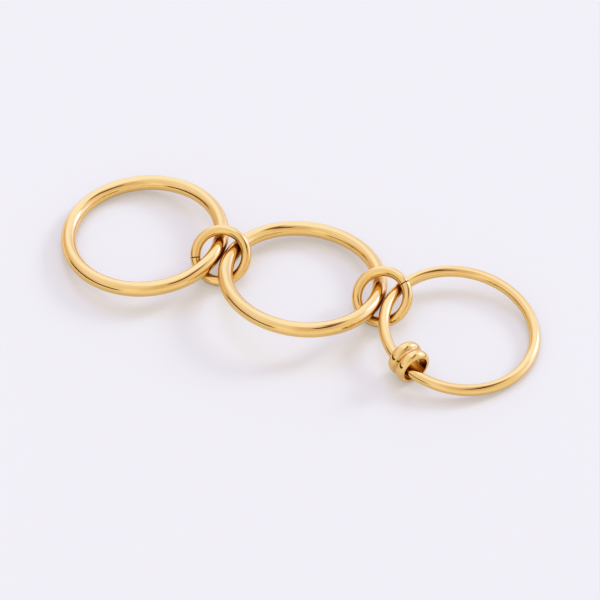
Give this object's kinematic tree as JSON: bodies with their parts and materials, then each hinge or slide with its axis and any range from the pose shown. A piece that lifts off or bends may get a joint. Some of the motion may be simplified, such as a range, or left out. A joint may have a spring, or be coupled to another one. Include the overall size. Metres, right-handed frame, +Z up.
{
  "type": "linked stacking ring set",
  "caption": "Stackable finger ring made of plain round-wire bands coupled by small closed links, with a two-lobed bead sliding on the slimmest band.",
  "frame": {"origin": "on the table, under the middle of the set's bounding box", "axes": "+X along the row of bands towards the slim one, +Y across it, +Z up from the table"},
  "size_m": [0.0622, 0.021, 0.0051],
  "materials": {
    "polished_gold": "mirror polished yellow gold plate"
  },
  "bodies": {
    "root": {"left_band": "polished_gold", "middle_band": "polished_gold", "right_band": "polished_gold", "left_link": "polished_gold", "right_link": "polished_gold", "slider_bead": "polished_gold"}
  },
  "joints": []
}
